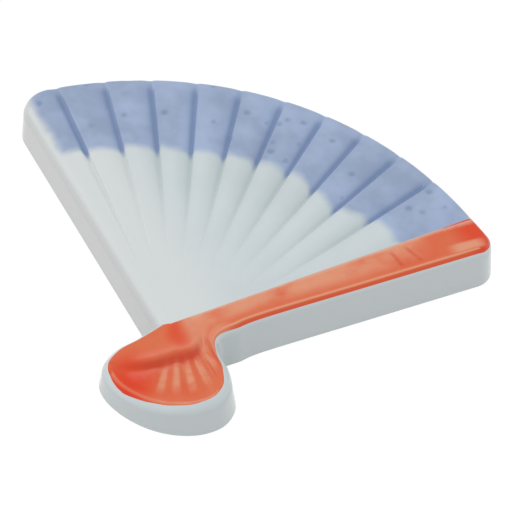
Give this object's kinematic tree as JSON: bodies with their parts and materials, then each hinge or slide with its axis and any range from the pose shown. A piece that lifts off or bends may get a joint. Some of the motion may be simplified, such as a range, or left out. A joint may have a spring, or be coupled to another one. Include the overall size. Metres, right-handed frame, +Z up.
{
  "type": "chopstick rest",
  "caption": "Glazed porcelain chopstick rest shaped as an open pleated folding fan with a raised guard and a fluted handle.",
  "frame": {"origin": "under the middle of the plan's bounding box, on the table", "axes": "+X to the right across the fan as its handle is held towards the reader, +Y from the handle to the far rim, +Z up"},
  "size_m": [0.059, 0.0475, 0.0065],
  "materials": {
    "porcelain": "bare fired porcelain, matt",
    "clear_glaze": "gloss clear glaze over white porcelain",
    "blue_glaze": "gloss pale blue glaze, darker where it pools",
    "red_enamel": "gloss red-orange enamel, brushed on"
  },
  "bodies": {
    "root": {"porcelain_body": "porcelain", "clear_glaze_coat": "clear_glaze", "blue_glaze_band": "blue_glaze", "red_enamel_coat": "red_enamel", "recess_glaze": "clear_glaze"}
  },
  "joints": []
}
